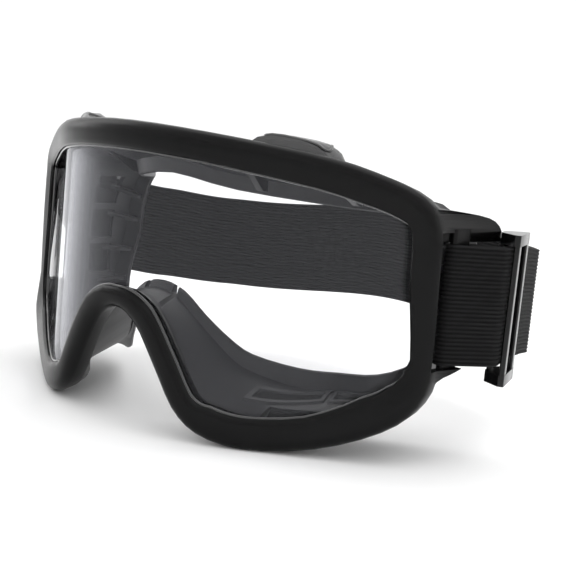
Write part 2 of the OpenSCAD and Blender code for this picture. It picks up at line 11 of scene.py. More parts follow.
import bmesh
import bpy
from mathutils import Matrix, Vector
from mathutils.bvhtree import BVHTree
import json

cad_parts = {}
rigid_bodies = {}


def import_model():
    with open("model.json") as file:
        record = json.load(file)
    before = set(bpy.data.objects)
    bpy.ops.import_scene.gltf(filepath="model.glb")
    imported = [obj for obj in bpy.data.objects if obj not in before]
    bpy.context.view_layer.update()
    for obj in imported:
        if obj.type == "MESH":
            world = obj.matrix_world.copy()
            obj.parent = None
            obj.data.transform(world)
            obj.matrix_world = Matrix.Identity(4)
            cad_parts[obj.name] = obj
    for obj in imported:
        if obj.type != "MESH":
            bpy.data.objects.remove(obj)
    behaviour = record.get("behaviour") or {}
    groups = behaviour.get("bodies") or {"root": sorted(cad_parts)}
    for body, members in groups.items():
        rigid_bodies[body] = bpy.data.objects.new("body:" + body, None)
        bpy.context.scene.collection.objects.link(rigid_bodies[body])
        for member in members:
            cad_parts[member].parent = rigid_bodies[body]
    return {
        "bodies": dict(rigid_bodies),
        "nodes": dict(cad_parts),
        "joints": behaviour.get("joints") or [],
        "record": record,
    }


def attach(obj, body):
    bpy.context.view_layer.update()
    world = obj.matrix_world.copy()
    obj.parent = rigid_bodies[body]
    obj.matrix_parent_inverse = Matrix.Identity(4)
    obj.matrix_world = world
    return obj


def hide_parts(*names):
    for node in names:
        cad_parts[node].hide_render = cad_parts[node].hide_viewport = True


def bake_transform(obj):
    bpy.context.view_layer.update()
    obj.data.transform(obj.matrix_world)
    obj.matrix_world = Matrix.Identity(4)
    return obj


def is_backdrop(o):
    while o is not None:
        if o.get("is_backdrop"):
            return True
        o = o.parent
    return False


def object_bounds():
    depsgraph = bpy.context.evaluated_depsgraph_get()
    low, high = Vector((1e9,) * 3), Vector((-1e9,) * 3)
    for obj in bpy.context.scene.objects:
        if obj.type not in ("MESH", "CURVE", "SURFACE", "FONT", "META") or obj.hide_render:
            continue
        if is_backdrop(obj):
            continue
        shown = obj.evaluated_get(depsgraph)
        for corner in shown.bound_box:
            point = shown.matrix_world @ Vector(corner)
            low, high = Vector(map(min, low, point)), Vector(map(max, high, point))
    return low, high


LOG = logging.getLogger("goggles")
# A millimetre in the frame's metres.
MM = 0.001
# Points nearer than this are one point.
SAME = 1e-6

Pair = tuple[float, float]
Point = tuple[float, float, float]
Line = list[tuple[Vector, float]]
Inputs = dict[str | int, object]
Form = bmesh.types.BMesh
Material = bpy.types.Material
Piece = bpy.types.Object
Socket = bpy.types.NodeSocket


class Side(Enum):
    """The two sides of the goggles, as seen by someone who looks at the front."""

    LEFT = -1
    RIGHT = 1

    @property
    def word(self) -> str:
        """The side's word in node and piece names."""
        return self.name.lower()


class Body(Enum):
    """The bodies that the pieces ride on."""

    GOGGLES = "goggles"
    ADJUSTER_LEFT = "adjuster_left"
    ADJUSTER_RIGHT = "adjuster_right"

    @classmethod
    def adjuster(cls, side: Side) -> "Body":
        """The slider's body on one side."""
        return cls.ADJUSTER_LEFT if side is Side.LEFT else cls.ADJUSTER_RIGHT


class Crease(Enum):
    """The angle in degrees past which an edge of a piece stays sharp."""

    PANEL = 30.0
    SOLID = 38.0
    SHEET = 40.0
    WEBBING = 50.0
    ROUND = 60.0


class NodeTree:
    """A thin maker of shader nodes for one material."""

    # The wave texture's scale for bands that are a metre wide.
    BAND_SCALE = 0.314

    def __init__(self, name: str) -> None:
        """Starts an empty material.

        Args:
            name: The material's name.
        """
        self.material = bpy.data.materials.new(name)
        self.material.use_nodes = True
        self.tree = self.material.node_tree
        self.tree.nodes.clear()

    def add(self, kind: str, inputs: Inputs | None = None, **settings: str) -> bpy.types.Node:
        """A new node.

        Args:
            kind: The node's type.
            inputs: For each input, a socket to link or a value to set.
            settings: The node's own settings.

        Returns:
            The node.
        """
        node = self.tree.nodes.new(kind)
        for name, value in settings.items():
            setattr(node, name, value)
        for key, given in (inputs or {}).items():
            if isinstance(given, Socket):
                self.tree.links.new(given, node.inputs[key])
            else:
                node.inputs[key].default_value = given
        return node

    def place(self) -> Socket:
        """The place on the object, in metres."""
        return self.add("ShaderNodeTexCoord").outputs["Object"]

    def noise(self, place: Socket, scale: float, detail: float) -> Socket:
        """Noise read at a place, with a scale in cells a metre."""
        inputs = {"Vector": place, "Scale": scale, "Detail": detail}
        return self.add("ShaderNodeTexNoise", inputs).outputs["Fac"]

    def bands(self, place: Socket, way: str, size: float, inputs: Inputs) -> Socket:
        """Soft bands over one axis of a map.

        Args:
            place: The coordinates to read.
            way: The axis, X or Y.
            size: The width of a band in millimetres.
            inputs: What else the wave gets.

        Returns:
            The bands' factor socket.
        """
        node = self.add(
            "ShaderNodeTexWave",
            {"Vector": place, "Scale": self.BAND_SCALE / (size * MM), **inputs},
            wave_type="BANDS",
            bands_direction=way,
        )
        return node.outputs["Fac"]

    def span(self, source: Socket, low: float, high: float) -> Socket:
        """Maps 0 to 1 onto low to high."""
        inputs = {"Value": source, "To Min": low, "To Max": high}
        return self.add("ShaderNodeMapRange", inputs).outputs["Result"]

    def maths(self, kind: str, *values: Socket | float) -> Socket:
        """Sockets and numbers combined by one kind of arithmetic."""
        node = self.add("ShaderNodeMath", dict(enumerate(values)), operation=kind)
        return node.outputs["Value"]

    def tones(self, source: Socket, dark: Sequence[float], light: Sequence[float]) -> Socket:
        """Runs a factor through two colours.

        Args:
            source: The factor.
            dark: The colour at 0.
            light: The colour at 1.

        Returns:
            The colour's socket.
        """
        node = self.add("ShaderNodeValToRGB", {"Fac": source})
        for stop, colour in zip(node.color_ramp.elements, (dark, light)):
            stop.color = (*colour, 1.0)
        return node.outputs["Color"]

    def bump(self, height: Socket, strength: float, distance: float) -> Socket:
        """A bump normal from a height."""
        inputs = {"Height": height, "Strength": strength, "Distance": distance}
        return self.add("ShaderNodeBump", inputs).outputs["Normal"]

    def principled(self, inputs: Inputs) -> Socket:
        """The surface of a Principled shader."""
        return self.add("ShaderNodeBsdfPrincipled", inputs).outputs["BSDF"]

    def finish(self, surface: Socket) -> Material:
        """Puts the surface on the output and hands over the material."""
        self.add("ShaderNodeOutputMaterial", {"Surface": surface})
        return self.material


@dataclass(frozen=True)
class MouldedFinish:
    """A moulded plastic or rubber surface with a fine grain and slight unevenness."""

    name: str
    colour: Point
    roughness: float
    unevenness: float
    grain: float
    grain_size: float
    specular: float

    # Cells in a metre, and octaves.
    PATCHES = (22.0, 3.0)
    GRAIN_OCTAVES = 2.0
    GRAIN_HEIGHT = 0.25
    DARK, LIGHT = 0.82, 1.18

    def make(self) -> Material:
        """Builds the material.

        Returns:
            The node material for this finish.
        """
        tree = NodeTree(self.name)
        place = tree.place()
        wide = tree.noise(place, *self.PATCHES)
        low, high = self.roughness - self.unevenness, self.roughness + self.unevenness
        size = self.grain_size * MM
        fine = tree.noise(place, 1.0 / size, self.GRAIN_OCTAVES)
        dark = [c * self.DARK for c in self.colour]
        light = [c * self.LIGHT for c in self.colour]
        surface = tree.principled(
            {
                "Base Color": tree.tones(wide, dark, light),
                "Roughness": tree.span(wide, low, high),
                "Normal": tree.bump(fine, self.grain, size * self.GRAIN_HEIGHT),
                "Specular IOR Level": self.specular,
            }
        )
        return tree.finish(surface)


@dataclass(frozen=True)
class ClearFinish:
    """A clear plate: see-through, with a mirror coat that grows towards grazing.

    Its normal leans outwards past the bend, which is in millimetres off the middle.
    """

    name: str
    tint: Point
    mirror: float
    bend: float
    fall: float

    COAT = (0.93, 0.94, 1.0, 1.0)
    COAT_ROUGHNESS = 0.03
    GRAZING_POWER = 5.0

    def make(self) -> Material:
        """Builds the material.

        Returns:
            The node material for this finish.
        """
        tree = NodeTree(self.name)
        split = tree.add("ShaderNodeSeparateXYZ", {"Vector": tree.place()})
        height = split.outputs["X"]
        for kind, other in (
            ("ABSOLUTE", 0.0),
            ("SUBTRACT", self.bend * MM),
            ("MAXIMUM", 0.0),
            ("POWER", 2.0),
            ("MULTIPLY", -self.fall),
        ):
            height = tree.maths(kind, height, other)
        normal = tree.bump(height, 1.0, 1.0)
        facing = tree.add("ShaderNodeLayerWeight", {"Blend": 0.5, "Normal": normal})
        steep = tree.maths("POWER", facing.outputs["Facing"], self.GRAZING_POWER)
        clear = tree.add("ShaderNodeBsdfTransparent", {"Color": (*self.tint, 1.0)})
        coat = tree.principled(
            {
                "Base Color": self.COAT,
                "Metallic": 1.0,
                "Roughness": self.COAT_ROUGHNESS,
                "Normal": normal,
            }
        )
        share = tree.span(steep, self.mirror, 1.0)
        layers = {"Fac": share, 1: clear.outputs["BSDF"], 2: coat}
        mix = tree.add("ShaderNodeMixShader", layers)
        return tree.finish(mix.outputs["Shader"])


@dataclass(frozen=True)
class FloorFinish:
    """A plain pale floor with the faintest unevenness."""

    name: str
    tone: float
    unevenness: float = 0.004
    roughness: float = 0.7
    specular: float = 0.2

    # Cells in a metre, and octaves.
    PATCHES = (3.0, 2.0)

    def make(self) -> Material:
        """Builds the material.

        Returns:
            The node material for this finish.
        """
        tree = NodeTree(self.name)
        wide = tree.noise(tree.place(), *self.PATCHES)
        dark = [self.tone - self.unevenness] * 3
        light = [self.tone + self.unevenness] * 3
        surface = tree.principled(
            {
                "Base Color": tree.tones(wide, dark, light),
                "Roughness": self.roughness,
                "Specular IOR Level": self.specular,
            }
        )
        return tree.finish(surface)


@dataclass(frozen=True)
class KnitFinish:
    """Elastic webbing: ribs and cross threads that follow the strap's own map, with painted shade
    in the rib valleys and a painted highlight on the rib crests.
    """

    name: str
    colour: Point
    thread: Point
    webbing: Webbing
    stitch: float = 0.8
    stitch_share: float = 0.55
    bump: float = 0.2
    bump_height: float = 0.12
    roughness: Pair = (0.72, 0.95)
    wear_tone: Pair = (0.5, 1.8)
    # The tones at the rib valleys and crests: painted shade in the valleys, a painted highlight on
    # the crests.
    rib_shade_tone: Pair = (0.15, 1.2)
    sheen: float = 0.02
    sheen_roughness: float = 0.4
    specular: float = 0.14

    # Cells in a metre, and octaves.
    FUZZ = (3200.0, 3.0)
    PATCHES = (60.0, 2.0)
    UNEVEN = {"Distortion": 1.2, "Detail": 1.0, "Detail Scale": 3.0}

    def make(self) -> Material:
        """Builds the material.

        Returns:
            The node material for this finish.
        """
        tree = NodeTree(self.name)
        place = tree.add("ShaderNodeUVMap", uv_map="along").outputs["UV"]
        threads = tree.bands(place, "X", self.stitch, self.UNEVEN)
        fuzz = tree.noise(place, *self.FUZZ)
        patches = tree.noise(place, *self.PATCHES)
        both = tree.maths("MULTIPLY_ADD", threads, self.stitch_share, fuzz)
        rib = self.webbing.rib
        even = {"Distortion": 0.0, "Phase Offset": -math.tau * self.webbing.hem / rib}
        # Bands in step with the ribs' shape: dark in the valleys as painted shade, light on the
        # crests as a painted highlight.
        ribs = tree.bands(place, "Y", rib, even)
        wear = tree.span(tree.maths("MULTIPLY", fuzz, patches), *self.wear_tone)
        # Random wear, times the ribs' painted shade and highlight.
        wear_and_rib_shade = tree.maths("MULTIPLY", wear, tree.span(ribs, *self.rib_shade_tone))
        surface = tree.principled(
            {
                "Base Color": tree.tones(wear_and_rib_shade, self.colour, self.thread),
                "Roughness": tree.span(fuzz, *self.roughness),
                "Normal": tree.bump(both, self.bump, self.bump_height * MM),
                "Sheen Weight": self.sheen,
                "Sheen Roughness": self.sheen_roughness,
                "Specular IOR Level": self.specular,
            }
        )
        return tree.finish(surface)


@dataclass(frozen=True)
class Finishes:
    """Every finish on the goggles, made once."""

    rim: Material
    lens: Material
    skirt: Material
    vent: Material
    elastic: Material
    thread: Material
    slider: Material
    bead: Material
    gauze: Material
    floor: Material

    # Name, colour, roughness, unevenness, grain, grain size in mm, specular.
    MOULDED = {
        "rim": ("satin_rim", (0.003, 0.003, 0.0031), 0.25, 0.03, 0.03, 0.25, 0.13),
        "skirt": ("soft_skirt", (0.012, 0.012, 0.0135), 0.4, 0.05, 0.05, 0.3, 0.3),
        "vent": ("vent_plastic", (0.016, 0.016, 0.0165), 0.2, 0.03, 0.03, 0.2, 0.9),
        "bead": ("glossy_bead", (0.012, 0.012, 0.012), 0.1, 0.02, 0.0, 0.2, 0.9),
        "gauze": ("vent_gauze", (0.004, 0.004, 0.004), 0.85, 0.05, 0.6, 0.5, 0.2),
        "thread": ("sewing_thread", (0.03, 0.03, 0.032), 0.6, 0.08, 0.3, 0.1, 0.5),
        "slider": ("glossy_slider", (0.004, 0.004, 0.0042), 0.17, 0.02, 0.02, 0.2, 0.25),
    }

    @classmethod
    def make(cls, webbing: Webbing) -> "Finishes":
        """Makes all the finishes.

        Args:
            webbing: The strap's webbing.

        Returns:
            The set of materials.
        """
        tint, dark, light = (0.985, 0.985, 0.99), (0.0012, 0.0012, 0.0013), (0.0105, 0.0105, 0.011)
        clear = ClearFinish("clear_plate", tint, mirror=0.014, bend=44.0, fall=4.6)
        knit = KnitFinish("ribbed_elastic", dark, light, webbing)
        moulded = {word: MouldedFinish(*row).make() for word, row in cls.MOULDED.items()}
        floor = FloorFinish("pale_floor", 0.945).make()
        return cls(lens=clear.make(), elastic=knit.make(), floor=floor, **moulded)


def smooth(form: Form, crease: Crease) -> None:
    """Smooths a form.

    Args:
        form: The form.
        crease: Edges that turn more than this stay sharp.
    """
    limit = math.radians(crease.value)
    for face in form.faces:
        face.smooth = True
    for edge in form.edges:
        open_edge = len(edge.link_faces) != 2
        edge.smooth = open_edge or edge.calc_face_angle(0.0) <= limit


def soften(form: Form, offset: float) -> None:
    """Turns a form's faces outward and rounds its edges.

    Args:
        form: The form.
        offset: How far the rounding reaches from an edge, in millimetres.
    """
    bmesh.ops.recalc_face_normals(form, faces=form.faces)
    edges, reach = form.edges[:], offset * MM
    bmesh.ops.bevel(
        form, geom=edges, offset=reach, segments=2, profile=0.5, affect="EDGES", material=-1
    )


def settle(form: Form, side: Side) -> None:
    """Puts a form of the right side on one side, with its faces outward.

    Args:
        form: The form.
        side: The side of the goggles.
    """
    if side is Side.LEFT:
        bmesh.ops.scale(form, vec=(-1.0, 1.0, 1.0), verts=form.verts)
    bmesh.ops.recalc_face_normals(form, faces=form.faces)


def shown(name: str, mesh: bpy.types.Mesh, finishes: Sequence[Material]) -> Piece:
    """Shows a mesh as a new object.

    Args:
        name: The object's name.
        mesh: The mesh.
        finishes: Its materials, slot by slot.

    Returns:
        The new object, at the origin.
    """
    for finish in finishes:
        mesh.materials.append(finish)
    piece = bpy.data.objects.new(name, mesh)
    bpy.context.scene.collection.objects.link(piece)
    LOG.info("piece %s: %d faces", name, len(mesh.polygons))
    return piece


def as_piece(name: str, form: Form, crease: Crease, *finishes: Material) -> Piece:
    """Makes a smooth piece from a mesh form.

    Args:
        name: The piece's name.
        form: The form, which is used up.
        crease: Edges that turn more than this stay sharp.
        finishes: Its materials, slot by slot.

    Returns:
        The new object, at the origin.
    """
    smooth(form, crease)
    mesh = bpy.data.meshes.new(name)
    form.to_mesh(mesh)
    form.free()
    return shown(name, mesh, finishes)


def round_bead(name: str, points: Sequence[Vector], radius: float, finish: Material) -> Piece:
    """A round bead along a closed line.

    Args:
        name: The piece's name.
        points: The line's points.
        radius: The bead's radius in millimetres.
        finish: Its material.

    Returns:
        The new object.
    """
    curve = bpy.data.curves.new(name + "_line", "CURVE")
    curve.dimensions = "3D"
    curve.bevel_depth = radius * MM
    curve.bevel_resolution = 2
    line = curve.splines.new("POLY")
    line.points.add(len(points) - 1)
    for knot, place in zip(line.points, points):
        knot.co = (*place, 1.0)
    line.use_cyclic_u = True
    carrier = bpy.data.objects.new(name + "_line", curve)
    form = bmesh.new()
    form.from_mesh(carrier.to_mesh())
    carrier.to_mesh_clear()
    bpy.data.objects.remove(carrier)
    bpy.data.curves.remove(curve)
    bmesh.ops.recalc_face_normals(form, faces=form.faces)
    return as_piece(name, form, Crease.ROUND, finish)


@dataclass(frozen=True)
class SolidCopy:
    """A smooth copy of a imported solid, which then stands for it."""

    frame: dict
    node: str
    body: Body

    MERGE = 2e-6

    def make(self, finish: Material, shape: Callable[[Form], None] | None) -> None:
        """Copies, merges and smooths the solid.

        Args:
            finish: Its material.
            shape: What cuts the copy before it is smoothed, if anything.
        """
        mesh = self.frame["nodes"][self.node].data.copy()
        form = bmesh.new()
        form.from_mesh(mesh)
        bmesh.ops.remove_doubles(form, verts=form.verts, dist=self.MERGE)
        if shape is not None:
            shape(form)
        smooth(form, Crease.SOLID)
        form.to_mesh(mesh)
        form.free()
        mesh.materials.clear()
        piece = shown(self.node + "_dressed", mesh, [finish])
        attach(piece, self.body.value)
        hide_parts(self.node)


def across(angle: float) -> Vector:
    """The outward direction of a stretch with this heading, in degrees."""
    return Vector((math.cos(math.radians(angle)), math.sin(math.radians(angle))))


def along(place: Vector, angle: float, length: float) -> Vector:
    """The point a length further on a straight stretch."""
    turn = math.radians(angle)
    return place + length * Vector((-math.sin(turn), math.cos(turn)))


def turned(place: Vector, radius: float, start: float, end: float) -> Vector:
    """The end of an arc that starts at a place with one heading and ends with another."""
    return place + radius * (across(end) - across(start))


def spread(start: float, end: float, count: int) -> list[float]:
    """Evenly spread values from start to end."""
    return [start + (end - start) * k / count for k in range(count + 1)]


def straight(place: Vector, angle: float, length: float, count: int) -> Line:
    """The places and headings inside a straight stretch, without its ends."""
    return [(along(place, angle, length * k / count), angle) for k in range(1, count)]


def arc(place: Vector, radius: float, start: float, end: float, count: int) -> Line:
    """The places and headings of an arc that starts at a place."""
    return [(turned(place, radius, start, a), a) for a in spread(start, end, count)]


def eased(value: float) -> float:
    """Runs smoothly from 0 to 1."""
    held = min(1.0, max(0.0, value))
    return held * held * (3.0 - 2.0 * held)


@dataclass(frozen=True)
class Step:
    """One place on a strap's path, in millimetres of the goggles' own plan."""

    x: float
    y: float
    heading: float
    way: float
    drop: float = 0.0

    def beside(self, off: float) -> Vector:
        """The point that lies off to the outside of the path."""
        turn = math.radians(self.heading)
        return Vector((self.x + off * math.cos(turn), self.y + off * math.sin(turn)))


def measured(line: Line) -> list[Step]:
    """Adds up the way along a line of places and headings.

    Args:
        line: Places and headings.

    Returns:
        The same places with the way gone so far.
    """
    steps: list[Step] = []
    way = 0.0
    for k, (place, angle) in enumerate(line):
        way += (place - line[k - 1][0]).length if k else 0.0
        steps.append(Step(place.x, place.y, angle, way))
    return steps


@dataclass(frozen=True)
class Webbing:
    """Ribbed elastic webbing: its section across the path, in millimetres."""

    width: float = 37.0
    thickness: float = 1.3
    ribs: int = 27
    hem: float = 1.1
    rib_depth: float = 0.36
    rib_power: float = 1.6
    edge: float = 0.25
    edge_sink: float = 0.12
    points: int = 5

    @property
    def rib(self) -> float:
        """The width of a rib."""
        return (self.width - 2.0 * self.hem) / self.ribs

    def face(self) -> list[Pair]:
        """Depths and heights of one face, from the lower hem to the upper one.

        Returns:
            Pairs of depth under the face and height over the lower edge.
        """
        low = [(self.edge_sink, self.edge), (0.0, self.hem * 0.5)]
        middle = []
        for rib in range(self.ribs):
            for k in range(self.points):
                share = k / self.points
                sink = (0.5 + 0.5 * math.cos(math.tau * share)) ** self.rib_power
                height = self.hem + (rib + share) * self.rib
                middle.append((sink * self.rib_depth, height))
        middle.append((self.rib_depth, self.width - self.hem))
        high = [(sink, self.width - height) for sink, height in reversed(low)]
        return low + middle + high

    def section(self) -> list[Pair]:
        """The closed section: offsets to the outside, and heights.

        Returns:
            The outer face upwards, then the inner face downwards.
        """
        half = self.thickness / 2.0
        face = self.face()
        outer = [(half - sink, height) for sink, height in face]
        inner = [(sink - half, height) for sink, height in reversed(face)]
        return [(0.0, 0.0), *outer, (0.0, self.width), *inner]


@dataclass(frozen=True)
class PlanFrame:
    """The place of the goggles' own plan in the frame."""

    front: float

    def point(self, plan: Vector, height: float) -> Vector:
        """A point of the plan at a height, in metres of the frame."""
        return Vector((plan.x * MM, plan.y * MM + self.front, height * MM))


@dataclass
class HeadStrap:
    """The elastic strap: its running band, its inner layers and its sewn ends.

    Its measures are in millimetres and degrees. Lines are made for the right side.
    """

    plan: PlanFrame
    webbing: Webbing
    elastic: Material
    thread: Material
    foot: float = 31.5
    bar_place: Pair = (87.2147, 55.9904)
    bar_thickness: float = 2.4
    bar_width: float = 8.0
    snug: float = 0.15
    arm_splay: float = 7.0
    lead_splay: float = 33.0
    lead_length: float = 15.0
    run_turn: float = 19.0
    run_length: float = 56.0
    bend_radius: float = 5.0
    corner_radius: float = 25.0
    corner_turn: float = 60.0
    slider_place: float = 9.2
    slider_length: float = 17.0
    slider_bar: float = 4.8
    slider_thickness: float = 1.8
    run_gap: float = 0.3
    sewn_length: float = 8.0
    sewn_slant: float = 3.2
    sewn_tail: float = 0.8
    sewn_gap: float = 0.02
    return_gap: float = 0.1
    return_pull: float = 4.6
    corner_drop: float = 5.4
    back_drop: float = 1.0
    back_share: float = 0.95
    first_slack: float = 0.42
    first_length: float = 20.0
    last_start: float = 14.0
    last_length: float = 36.0
    stitch_rows: Pair = (2.2, 4.2)
    stitch_margin: float = 2.0
    stitch_radius: float = 0.5
    stitch_shape: Point = (0.45, 0.6, 1.9)
    stitch_steps: int = 13

    # How many parts the stretches of the middle lines have.
    FOLD, LEAD, BEND, RUN, CORNER, BACK = 24, 5, 12, 28, 14, 20
    ARM, RETURN, WRAP, LOOP, LAID = 3, 14, 6, 14, 8

    def __post_init__(self) -> None:
        """Works out the places that the pieces share."""
        t, half_bar = self.webbing.thickness, self.slider_thickness / 2.0
        lead, run = -self.lead_splay, self.run_turn
        bar, inset = Vector(self.bar_place), t / 2.0 + self.snug + self.bar_thickness / 2.0
        wrap = spread(-180.0 - self.arm_splay, lead, self.FOLD)
        self.fold = [(bar + inset * across(a), a) for a in wrap]
        self.lead_end = along(self.fold[-1][0], lead, self.lead_length)
        self.run_start = turned(self.lead_end, self.bend_radius, lead, run)
        self.run_end = along(self.run_start, run, self.run_length)
        self.corner_end = turned(self.run_end, self.corner_radius, run, self.corner_turn)
        wrap_out = -(t / 2.0 + self.run_gap)
        self.wrap_mid = wrap_out - t / 2.0
        self.laid_mid = self.wrap_mid - t - self.sewn_gap
        self.bar_middle = wrap_out - t - self.snug - half_bar
        self.inner_mid = self.bar_middle - half_bar - self.snug - t / 2.0

    def swept(self, name: str, path: Sequence[Step], side: Side) -> Piece:
        """Sweeps the webbing's section along a path and closes both ends.

        Args:
            name: The piece's name.
            path: The places that the section passes.
            side: The side that the piece goes to.

        Returns:
            The piece, with a UV map in metres along and across the path.
        """
        section = self.webbing.section()
        rows, columns = len(path) - 1, len(section)

        def cell(co: Vector) -> tuple[int, int]:
            """The places in the section and in the path of a point of the grid."""
            k, row = (co.x + 1.0) / 2.0 * columns, (co.y + 1.0) / 2.0 * rows
            return round(k) % columns, round(row)

        form = bmesh.new()
        bmesh.ops.create_grid(form, x_segments=columns, y_segments=rows, size=1.0)
        uv = form.loops.layers.uv.new("along")
        for face in form.faces:
            for loop in face.loops:
                k, row = cell(loop.vert.co)
                loop[uv].uv = (path[row].way * MM, section[k][1] * MM)
        for vert in form.verts:
            k, row = cell(vert.co)
            step, (off, height) = path[row], section[k]
            vert.co = self.plan.point(step.beside(off), self.foot + height - step.drop)
        bmesh.ops.remove_doubles(form, verts=form.verts, dist=SAME)
        ends = [edge for edge in form.edges if edge.is_boundary]
        bmesh.ops.holes_fill(form, edges=ends, sides=0)
        settle(form, side)
        return as_piece(name, form, Crease.WEBBING, self.elastic)

    def half_line(self) -> Line:
        """The band's middle line.

        Returns:
            The line from the right bar to the middle of the back.
        """
        lead, run, corner = -self.lead_splay, self.run_turn, self.corner_turn
        back_radius = self.corner_end.x / math.cos(math.radians(corner))
        return [
            *self.fold,
            *straight(self.fold[-1][0], lead, self.lead_length, self.LEAD),
            *arc(self.lead_end, self.bend_radius, lead, run, self.BEND),
            *straight(self.run_start, run, self.run_length, self.RUN),
            *arc(self.run_end, self.corner_radius, run, corner, self.CORNER),
            *arc(self.corner_end, back_radius, corner, 90.0, self.BACK)[1:],
        ]

    def dropped(self, step: Step, free: float) -> Step:
        """A step of the band, let down by the strap's own weight.

        Args:
            step: The step.
            free: The way gone at the slider's rear end.

        Returns:
            The same step with its drop.
        """
        past = step.way - free
        first = self.first_slack * eased(past / self.first_length)
        last = (1.0 - self.first_slack) * eased((past - self.last_start) / self.last_length)
        corner = eased(abs(step.x) / (self.corner_end.x * self.back_share))
        low = self.back_drop + (self.corner_drop - self.back_drop) * corner
        return Step(step.x, step.y, step.heading, step.way, (first + last) * low)

    def band(self) -> Piece:
        """The running band, from bar to bar behind the head.

        Returns:
            The band.
        """
        half = measured(self.half_line())
        start = min(s.way for s in half if (Vector((s.x, s.y)) - self.run_start).length < SAME)
        free = start + self.slider_place + self.slider_length / 2.0
        right = [self.dropped(s, free) for s in half]
        total = right[-1].way
        left = [
            Step(-s.x, s.y, 180.0 - s.heading, 2.0 * total - s.way, s.drop)
            for s in reversed(right[:-1])
        ]
        return self.swept("strap_webbing", right + left, Side.RIGHT)

    def on_run(self, off: float, way: float) -> Vector:
        """A place in the slider's own plan: off the run, and along it."""
        place = along(self.run_start, self.run_turn, self.slider_place + way)
        return place + off * across(self.run_turn)

    def return_line(self) -> Line:
        """The inner layer's middle line, from the bar to the sewn end.

        Returns:
            A straight piece on the arm and a smooth curve to the run.
        """
        arm, first = -self.arm_splay, self.fold[0][0]
        bend = along(first, arm, self.bar_width - self.bar_thickness)
        end = self.on_run(self.wrap_mid, -self.sewn_length - self.return_gap)
        pull_a = along(bend, arm, self.return_pull)
        pull_b = along(end, self.run_turn, -self.return_pull)
        line = [(first.lerp(bend, k / self.ARM), arm) for k in range(self.ARM)]
        for t in spread(0.0, 1.0, self.RETURN):
            u = 1.0 - t
            place = u**3 * bend + 3 * t * u * (u * pull_a + t * pull_b) + t**3 * end
            way = u * u * (pull_a - bend) + 2 * t * u * (pull_b - pull_a) + t * t * (end - pull_b)
            line.append((place, math.degrees(math.atan2(-way.x, way.y))))
        return line

    def inner_layer(self, side: Side) -> Piece:
        """The layer between the bar and the sewn end.

        Args:
            side: The side of the goggles.

        Returns:
            The layer.
        """
        line = self.return_line()
        piece = self.swept(f"strap_inner_{side.word}", measured(line), side)
        start, end = line[self.ARM][0].copy(), line[-1][0].copy()
        start.x *= side.value
        end.x *= side.value
        Body.adjuster(side).value
        self.plan.point(start, self.foot)
        self.plan.point(end, self.foot)
        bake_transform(piece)
        return piece

    def end_line(self) -> Line:
        """The sewn end's middle line, round the slider's middle bar and back.

        Returns:
            The wrap's outer stretch, its turn, and the inner stretch that is sewn on.
        """
        turn, back = self.run_turn, self.run_turn + 180.0
        reach = (self.slider_bar - self.slider_thickness) / 2.0
        radius = self.slider_thickness / 2.0 + self.snug + self.webbing.thickness / 2.0
        outer = spread(-self.sewn_length, reach, self.WRAP)
        line = [(self.on_run(self.wrap_mid, y), turn) for y in outer]
        for a in spread(0.0, 180.0, self.LOOP)[1:]:
            off, y = radius * math.cos(math.radians(a)), radius * math.sin(math.radians(a))
            line.append((self.on_run(self.bar_middle + off, reach + y), turn + a))
        for part in spread(0.0, 1.0, self.LAID)[1:]:
            off = self.inner_mid + (self.laid_mid - self.inner_mid) * eased(part)
            y = reach - (2.0 * reach + self.sewn_slant) * part
            line.append((self.on_run(off, y), back))
        line.append((self.on_run(self.laid_mid, self.sewn_tail - self.sewn_length), back))
        return line

    def sewn_end(self, side: Side) -> Piece:
        """The loop round the slider's middle bar.

        Args:
            side: The side of the goggles.

        Returns:
            The loop, which rides on the slider.
        """
        piece = self.swept(f"strap_loop_{side.word}", measured(self.end_line()), side)
        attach(piece, Body.adjuster(side).value)
        return piece

    def stitches(self, side: Side) -> None:
        """Two rows of stitches through the sewn end, on its inner face.

        Args:
            side: The side of the goggles.
        """
        form = bmesh.new()
        face = self.laid_mid - self.webbing.thickness / 2.0
        turn = Matrix.Rotation(math.radians(self.run_turn), 3, "Z")
        low = self.foot + self.stitch_margin
        high = self.foot + self.webbing.width - self.stitch_margin
        size = self.stitch_radius * MM
        for row in self.stitch_rows:
            spot = self.on_run(face, row - self.sewn_length)
            for height in spread(low, high, self.stitch_steps):
                made = bmesh.ops.create_uvsphere(form, u_segments=6, v_segments=4, radius=size)
                bmesh.ops.scale(form, vec=self.stitch_shape, verts=made["verts"])
                bmesh.ops.rotate(form, matrix=turn, verts=made["verts"])
                place = self.plan.point(spot, height)
                bmesh.ops.translate(form, vec=place, verts=made["verts"])
        settle(form, side)
        piece = as_piece(f"strap_stitches_{side.word}", form, Crease.ROUND, self.thread)
        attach(piece, Body.adjuster(side).value)

    def build(self) -> None:
        """Makes every piece of the strap."""
        band = self.band()
        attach(band, Body.GOGGLES.value)
        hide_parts("strap_band")
        for side in Side:
            layer = self.inner_layer(side)
            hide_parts(f"strap_return_{side.word}")
            end = self.sewn_end(side)
            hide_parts(f"strap_end_{side.word}")
            self.stitches(side)


